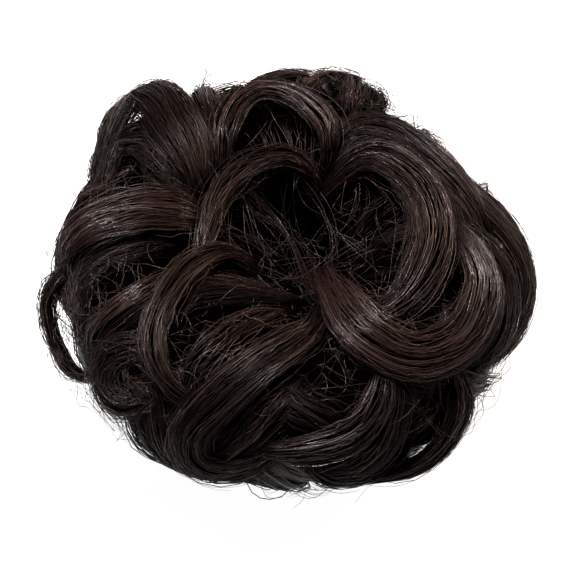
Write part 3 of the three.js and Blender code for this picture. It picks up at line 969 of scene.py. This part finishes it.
def stray_piece(name, paths, seed, material, width=1.0, points=20, tones=(0.1, 1.0)):
    """A piece of single hairs that follow some paths. A path that strays too far out is left out."""
    sizes = bpy.context.scene.hairpiece_sizes
    rng = np.random.default_rng(seed)
    strands = Strands()
    low, high = np.array(CAD_BOX[0]) - BOX_MARGIN, np.array(CAD_BOX[1]) + BOX_MARGIN
    for path in paths:
        line, length = even_steps(smooth_path(path, 8), points)
        if (line < low).any() or (line > high).any():
            continue
        tangent = unit(np.gradient(line, axis=0))
        side = unit(np.cross(tangent, [0.3, 0.2, 1.0]))
        up = np.cross(side, tangent)
        share = np.linspace(0, 1, points)
        radii = sizes.stray_width / 2 * width * rng.uniform(0.8, 1.2) * (1 - 0.6 * share ** 2)
        line[:, 2] = np.maximum(line[:, 2], radii + FLOOR_GAP)
        flow = np.zeros((points, 3))
        flow[:, 2] = share * length / MM
        strands.add(rings_round(line, side, up, radii)[None], [rng.uniform(*tones)], flow[None])
    settle(strands.piece(name, material, core_material()))


def flyaway(rng, shape, stand, bow_range):
    """A hair that leaves a lock's outer side, bows off it and comes back near it, or ends free."""
    first = rng.uniform(0.02, 0.6)
    last = first + rng.uniform(0.25, 0.5)
    share = np.linspace(0, 1, 7)
    along = np.clip(first + (last - first) * share, 0, 1)
    middle, across, out, half_breadth, half_depth = shape.at(along)
    angle = rng.uniform(-0.35, math.pi + 0.35)
    free = rng.random() < 0.4
    height = np.sin(math.pi * share * (0.55 if free else 1.0)) * rng.uniform(*bow_range)
    sideways = rng.normal(0, stand) * share + rng.normal(0, 0.25 * MM, 7)
    u = half_breadth * np.cos(angle) + height * np.cos(angle) + sideways
    v = half_depth * np.sin(angle) + height * np.sin(angle)
    return middle + across * u[:, None] + out * v[:, None]


def chord(rng, half_span, level, sag, scatter):
    """A line across the loop, from one side of the heap to the other, sagging in the middle."""
    points = 6
    way = rng.uniform(0, TURN)
    share = np.linspace(-1, 1, points)
    aside = rng.uniform(-0.75, 0.75) * half_span
    span = half_span * rng.uniform(0.75, 1.15)
    line = np.stack([share * span, aside + rng.normal(0, scatter, points), np.zeros(points)], axis=1)
    line[:, 1] += rng.uniform(-0.35, 0.35) * half_span * (1 - share ** 2)
    cosine, sine = math.cos(way), math.sin(way)
    turned = line @ np.array([[cosine, sine, 0], [-sine, cosine, 0], [0, 0, 1]])
    turned[:, 2] = level + rng.normal(0, 2 * MM) + rng.normal(0, scatter / 2, points) - sag * (1 - share ** 2)
    return turned


def arc(rng, half_span, level, sag, scatter):
    """A bowed hair over the loop, which sags where it comes near the middle."""
    points = 9
    share = np.linspace(0, 1, points)
    angle = rng.uniform(0, TURN) + rng.choice([-1, 1]) * math.radians(rng.uniform(60, 170)) * share
    radius = half_span * rng.uniform(0.25, 0.9) * (1 + rng.uniform(-0.35, 0.35) * share)
    middle = rng.uniform(-0.7, 0.7, 2) * half_span
    line = np.stack([middle[0] + radius * np.cos(angle), middle[1] + radius * np.sin(angle)], axis=1)
    line += rng.normal(0, scatter / 3, line.shape)
    inside = np.clip(1 - np.sum(line ** 2, axis=1) / half_span ** 2, 0, 1)
    height = level + rng.normal(0, scatter) + rng.normal(0, scatter / 4, points) - sag * inside
    return np.column_stack([line, height])


def roaming(rng, sizes, bearing, turn, lift, reach, curl):
    """A hair that roams over the roll from one of its places, bending one way."""
    points = 8
    way = rng.uniform(0, TURN) + rng.choice([-1, 1]) * np.linspace(0, 1, points) * curl
    step = reach / points
    bearings = bearing + np.degrees(np.cumsum(step * np.cos(way)) / sizes.roll_radius)
    turns = turn + np.degrees(np.cumsum(step * np.sin(way)) / sizes.roll_rise)
    lifts = lift + rng.normal(0, 0.035, points) + rng.uniform(-0.08, 0.08) * np.linspace(-1, 1, points)
    return place_on_roll(bearings, turns, lifts, sizes)


def wisp(rng, line, count, scatter):
    """Hairs that run together along a line and part a little."""
    hairs = []
    share = np.linspace(0, 1, len(line))[:, None]
    for _ in range(count):
        aside, bow = rng.normal(0, scatter, (2, 3))
        parted = aside * (0.35 + share) + bow * np.sin(math.pi * share * 1.6)
        hairs.append(line + parted + rng.normal(0, scatter / 6, line.shape))
    return hairs


# Wisps over the loop, in millimetres
WISPS = [
    [(-13.8, 22.3, 51), (-12, 15, 48), (-8.5, 5, 45), (-3, -3, 44)],
    [(-17, 17, 52), (-18.5, 8.7, 50), (-16, 1, 48), (-10.5, -6, 45)],
    [(20, 28.6, 53), (23.3, 19, 50), (21, 9, 47), (14.6, 2, 45)],
    [(12, -6, 44), (20, 0, 44), (29, 3, 47), (35, 4.5, 51)],
    [(15, 7.6, 44), (22, 1, 44), (29, -7, 47), (33, -18, 52)],
    [(2, 26, 53), (9.5, 19, 49), (15, 8, 46), (16, -5, 44)],
    [(-24, -1, 53), (-17, 3, 50), (-10, 3, 47), (-3, 0, 45)],
]
# Hairs that leave the tip of the front right curl and run on over the loop
FRAYED_TIP = [(16, -31, 55), (10.8, -26, 53), (5.6, -13, 50), (2.4, -2, 48), (-2.7, 8.4, 47), (-8, 14, 48),
              (-12.8, 17.6, 51)]
# A few hairs that stand up at the back
BACK_WISP = [(-27, 62, 46), (-26, 64, 48), (-24.5, 65.5, 52), (-22, 67, 56)]
# Hairs that curl off the end of the left wave, and hang out at the front and at the left
LOW_WISPS = [
    [(-58, 3, 53), (-63, 2.4, 52), (-67, 1, 49), (-68.5, -1, 46), (-65, -1, 44)],
    [(-60, -1, 52), (-66, -0.5, 49), (-68.5, -1.8, 45), (-66, -3, 43), (-63, -2, 43)],
    [(-7, -54.5, 16), (-2, -57, 10), (4, -60, 5.5), (9, -60.5, 3), (13, -58, 3), (15, -55, 4)],
    [(-3, -55.5, 14), (3, -59, 8), (4.5, -60.7, 3), (0.3, -61.5, 2)],
    [(-53, -24.5, 14), (-52.5, -30, 11), (-50.5, -35.5, 7), (-47, -40.5, 4), (-41, -45, 2)],
]
# Patches of curly hair on the roll: bearing, turn, how far they spread in each, hairs, the least and the
# greatest length in millimetres, and how far a hair bends, in radians
CURLY_PATCHES = [
    (200, 40, 10, 20, 110, (10, 26), (2.5, 5.5)),
    (223, 36, 8, 14, 50, (10, 24), (2.5, 5.0)),
    (75, 45, 10, 14, 60, (10, 24), (2.0, 5.0)),
    (292, 72, 9, 16, 50, (16, 38), (0.5, 2.2)),
    (312, 34, 9, 16, 50, (16, 36), (0.4, 2.0)),
    (142, 70, 10, 22, 50, (14, 34), (0.5, 2.2)),
    (236, 66, 8, 14, 40, (14, 30), (0.6, 2.4)),
]
DEEP_HAIRS, BOWED_HAIRS, ROAMING_HAIRS = 560, 80, 420
FLYAWAYS = (("crests", CRESTS, 26), ("middles", MIDDLES, 12), ("edges", EDGES, 14))  # hairs to each lock


class HAIRPIECE_OT_tangle(bpy.types.Operator):
    """Models the loose hair that lies across the loop"""

    bl_idname = "hairpiece.tangle"
    bl_label = "Hair across the loop"

    def execute(self, context):
        sizes = context.scene.hairpiece_sizes
        rng = np.random.default_rng(31)
        half_span = sizes.roll_radius - 0.45 * sizes.roll_reach
        level = RING_HIGH[2]
        low = [chord(rng, 0.72 * half_span, level + 7 * MM, 5 * MM, 1.5 * MM) for _ in range(DEEP_HAIRS)]
        # The deep hairs take the shadow material: painted shade in the hollow of the loop.
        stray_piece("loose_hairs_deep", low, 3, core_material(), width=2.4, points=9)
        high = [arc(rng, half_span, level + 25 * MM, 13 * MM, 3 * MM) for _ in range(BOWED_HAIRS)]
        for line in WISPS:
            high += wisp(rng, np.array(line) * MM, 5, 1.5 * MM)
        tip = wisp(rng, np.array(FRAYED_TIP) * MM, 17, 1.5 * MM)
        stray_piece("loose_hairs_tip", tip, 5, hair_material(), width=1.2, tones=(0.2, 1.0))
        high += wisp(rng, np.array(BACK_WISP) * MM, 10, 0.9 * MM)
        stray_piece("loose_hairs_centre", high, 4, loose_material(), tones=(0.0, 0.85))
        return {"FINISHED"}


class HAIRPIECE_OT_strays(bpy.types.Operator):
    """Models the loose hairs that stand off the curls"""

    bl_idname = "hairpiece.strays"
    bl_label = "Loose hairs"

    def execute(self, context):
        sizes = context.scene.hairpiece_sizes
        rng = np.random.default_rng(77)
        for label, table, count in FLYAWAYS:
            paths = []
            for _, shape in table_shapes(table, sizes):
                paths += [flyaway(rng, shape, 1.6 * MM, (0.2 * MM, 1.6 * MM)) for _ in range(count)]
            stray_piece(f"loose_hairs_{label}", paths, 1, loose_material())
        under = []
        for _ in range(ROAMING_HAIRS):
            place = rng.uniform(0, 360), rng.uniform(5, 125), rng.uniform(0.78, 1.0)
            under.append(roaming(rng, sizes, *place, rng.uniform(14, 42) * MM, rng.uniform(0.2, 2.6)))
        stray_piece("loose_hairs_under", under, 9, loose_material(), width=1.1, points=14)
        curls = []
        for bearing, turn, wide, high, count, reaches, bends in CURLY_PATCHES:
            for _ in range(count):
                place = rng.normal(bearing, wide), rng.normal(turn, high), rng.uniform(0.92, 1.06)
                curls.append(roaming(rng, sizes, *place, rng.uniform(*reaches) * MM, rng.uniform(*bends)))
        for line in LOW_WISPS:
            curls += wisp(rng, np.array(line) * MM, 9, 1.1 * MM)
        stray_piece(
            "loose_hairs_curly", curls, 10, loose_material(), width=1.1, points=15, tones=(0.0, 0.8))
        return {"FINISHED"}


PHOTO_WIDTH = 569
PHOTO_SCALE = 3.24 / MM  # pixels to the metre at the heap
CAMERA_AWAY = 0.7
CAMERA_RISE = math.radians(54)
CAMERA_DROP = 1.7 * MM  # how far below the heap's middle the camera aims
SENSOR_WIDTH = 36.0
FLOOR_SIZE = 3
WORLD_GLOW = 0.025
VIEW_GAMMA = 0.86


def soft_light(name, place, aim, size, power, colour=(1.0, 1.0, 1.0)):
    """A square lamp at a place, turned to its aim."""
    light = bpy.data.lights.new(name, "AREA")
    light.energy, light.size, light.color = power, size, colour
    lamp = bpy.data.objects.new(name, light)
    lamp.location = place
    lamp.rotation_euler = (Vector(aim) - Vector(place)).to_track_quat("-Z", "Y").to_euler()
    bpy.context.collection.objects.link(lamp)


class HAIRPIECE_OT_stage(bpy.types.Operator):
    """Lays the pale floor and sets the lights and the camera"""

    bl_idname = "hairpiece.stage"
    bl_label = "Stage"

    def execute(self, context):
        sizes = context.scene.hairpiece_sizes
        bpy.ops.object.select_all(action="DESELECT")
        bpy.ops.mesh.primitive_grid_add(x_subdivisions=8, y_subdivisions=8, size=FLOOR_SIZE, location=(0, 0, 0))
        floor = context.object
        floor.name = floor.data.name = "floor"
        floor.data.materials.append(floor_material())

        world = bpy.data.worlds.new("studio")
        world.use_nodes = True
        sky = world.node_tree.nodes["Background"].inputs
        sky["Color"].default_value = (1, 1, 1, 1)
        sky["Strength"].default_value = WORLD_GLOW
        context.scene.world = world
        context.scene.view_settings.view_transform = "Standard"
        context.scene.view_settings.gamma = VIEW_GAMMA
        middle = (0, 0, sizes.roll_rise)
        soft_light("overhead", (-0.2, 0.15, 0.85), middle, 0.24, 32)
        soft_light("side", (0.6, 0.35, 0.4), middle, 0.25, 9, (1.0, 0.74, 0.52))

        away = Vector((0, -math.cos(CAMERA_RISE), math.sin(CAMERA_RISE)))
        up = Vector((0, math.sin(CAMERA_RISE), math.cos(CAMERA_RISE)))
        aim = Vector(middle) - up * CAMERA_DROP
        camera = bpy.data.objects.new("camera", bpy.data.cameras.new("camera"))
        camera.data.sensor_width = SENSOR_WIDTH
        camera.data.lens = SENSOR_WIDTH * CAMERA_AWAY * PHOTO_SCALE / PHOTO_WIDTH
        camera.location = aim + away * CAMERA_AWAY
        camera.rotation_euler = (math.pi / 2 - CAMERA_RISE, 0, 0)
        context.collection.objects.link(camera)
        context.scene.camera = camera
        return {"FINISHED"}


OPERATORS = (
    HAIRPIECE_OT_stage,
    HAIRPIECE_OT_band,
    HAIRPIECE_OT_ring,
    HAIRPIECE_OT_crests,
    HAIRPIECE_OT_middles,
    HAIRPIECE_OT_edges,
    HAIRPIECE_OT_skirt,
    HAIRPIECE_OT_inner,
    HAIRPIECE_OT_strays,
    HAIRPIECE_OT_tangle,
)


class HAIRPIECE_PT_panel(bpy.types.Panel):
    """Lists the hairpiece's sizes, colours and steps"""

    bl_idname = "HAIRPIECE_PT_panel"
    bl_label = "Hairpiece"
    bl_space_type = "VIEW_3D"
    bl_region_type = "UI"
    bl_category = "Hairpiece"

    def draw(self, context):
        for group in (context.scene.hairpiece_sizes, context.scene.hairpiece_colours):
            for name in type(group).__annotations__:
                self.layout.prop(group, name)
        for operator in OPERATORS:
            self.layout.operator(operator.bl_idname)


CLASSES = (HairpieceSizes, HairpieceColours, *OPERATORS, HAIRPIECE_PT_panel)


def register():
    for each in CLASSES:
        bpy.utils.register_class(each)
    bpy.types.Scene.hairpiece_sizes = bpy.props.PointerProperty(type=HairpieceSizes)
    bpy.types.Scene.hairpiece_colours = bpy.props.PointerProperty(type=HairpieceColours)


def unregister():
    del bpy.types.Scene.hairpiece_colours
    del bpy.types.Scene.hairpiece_sizes
    for each in reversed(CLASSES):
        bpy.utils.unregister_class(each)


def main():
    register()
    for operator in OPERATORS:
        group, name = operator.bl_idname.split(".")
        getattr(getattr(bpy.ops, group), name)()


if __name__ == "__main__":
    main()
